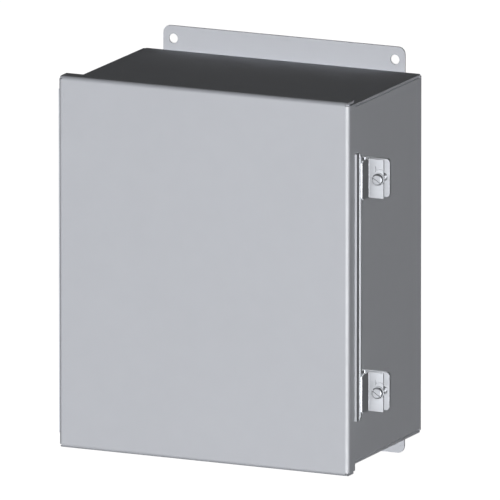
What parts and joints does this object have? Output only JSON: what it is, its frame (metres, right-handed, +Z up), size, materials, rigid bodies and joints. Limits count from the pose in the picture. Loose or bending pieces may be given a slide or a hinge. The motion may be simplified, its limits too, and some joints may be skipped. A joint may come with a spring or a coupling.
{
  "type": "industrial switchboard cabinet",
  "caption": "Wall-mounted steel cabinet with mounting flanges, a side-hinged gasketed door and screw clamps on its free side.",
  "frame": {"origin": "centre of the mounting hole pattern, on the wall face of the mounting flanges", "axes": "+X to the viewer's right across the door, +Y into the wall, +Z up; the door faces -Y"},
  "size_m": [0.2908, 0.1615, 0.346],
  "materials": {
    "enclosure_paint": "grey polyester powder coat, fine satin texture",
    "stainless": "rolled stainless steel, light brushing",
    "zinc_plate": "bright zinc plate with a faint yellow passivation",
    "panel_enamel": "white polyester enamel, satin",
    "gasket_rubber": "black closed-cell foam rubber, matt"
  },
  "bodies": {
    "enclosure": {"enclosure_body": "enclosure_paint", "top_mounting_flange": "enclosure_paint", "bottom_mounting_flange": "enclosure_paint", "hinge_body_leaf": "stainless", "hinge_pin": "stainless", "upper_clamp_bracket": "stainless", "lower_clamp_bracket": "stainless", "mounting_panel": "panel_enamel", "panel_stud_upper_left": "zinc_plate", "panel_stud_upper_right": "zinc_plate", "panel_stud_lower_left": "zinc_plate", "panel_stud_lower_right": "zinc_plate", "panel_washer_upper_left": "zinc_plate", "panel_washer_upper_right": "zinc_plate", "panel_washer_lower_left": "zinc_plate", "panel_washer_lower_right": "zinc_plate", "panel_nut_upper_left": "zinc_plate", "panel_nut_upper_right": "zinc_plate", "panel_nut_lower_left": "zinc_plate", "panel_nut_lower_right": "zinc_plate", "body_ground_stud": "zinc_plate", "body_ground_washer": "zinc_plate", "body_ground_nut": "zinc_plate"},
    "door": {"door": "enclosure_paint", "door_gasket": "gasket_rubber", "clamp_rail": "stainless", "hinge_door_leaf": "stainless", "door_ground_stud": "zinc_plate", "door_ground_washer": "zinc_plate", "door_ground_nut": "zinc_plate"},
    "upper_carrier": {"upper_clamp_washer": "stainless"},
    "upper_screw": {"upper_clamp_screw": "stainless"},
    "upper_finger": {"upper_clamp": "stainless"},
    "lower_carrier": {"lower_clamp_washer": "stainless"},
    "lower_screw": {"lower_clamp_screw": "stainless"},
    "lower_finger": {"lower_clamp": "stainless"}
  },
  "joints": [
    {"name": "door_hinge", "type": "hinge", "parent": "enclosure", "child": "door", "pos_m": [-0.13545, -0.1451, 0], "axis": [0, 0, -1], "range_deg": [0, 180]},
    {"name": "upper_clamp_travel", "type": "slide", "parent": "enclosure", "child": "upper_carrier", "axis": [0, -1, 0], "range_m": [0, 0.00254]},
    {"name": "upper_screw_turn", "type": "hinge", "parent": "upper_carrier", "child": "upper_screw", "pos_m": [0.14745, -0.1349, 0.0903], "axis": [0, -1, 0], "range_deg": [0, 720]},
    {"name": "upper_clamp_shift", "type": "slide", "parent": "upper_carrier", "child": "upper_finger", "axis": [1, 0, 0], "range_m": [0, 0.0024]},
    {"name": "lower_clamp_travel", "type": "slide", "parent": "enclosure", "child": "lower_carrier", "axis": [0, -1, 0], "range_m": [0, 0.00254]},
    {"name": "lower_screw_turn", "type": "hinge", "parent": "lower_carrier", "child": "lower_screw", "pos_m": [0.14745, -0.1349, -0.0903], "axis": [0, -1, 0], "range_deg": [0, 720]},
    {"name": "lower_clamp_shift", "type": "slide", "parent": "lower_carrier", "child": "lower_finger", "axis": [1, 0, 0], "range_m": [0, 0.0024]}
  ],
  "couplings": [
    {"joint": "upper_screw_turn", "follows": "upper_clamp_travel", "rad_per_m": 4947.4},
    {"joint": "lower_screw_turn", "follows": "lower_clamp_travel", "rad_per_m": 4947.4}
  ]
}
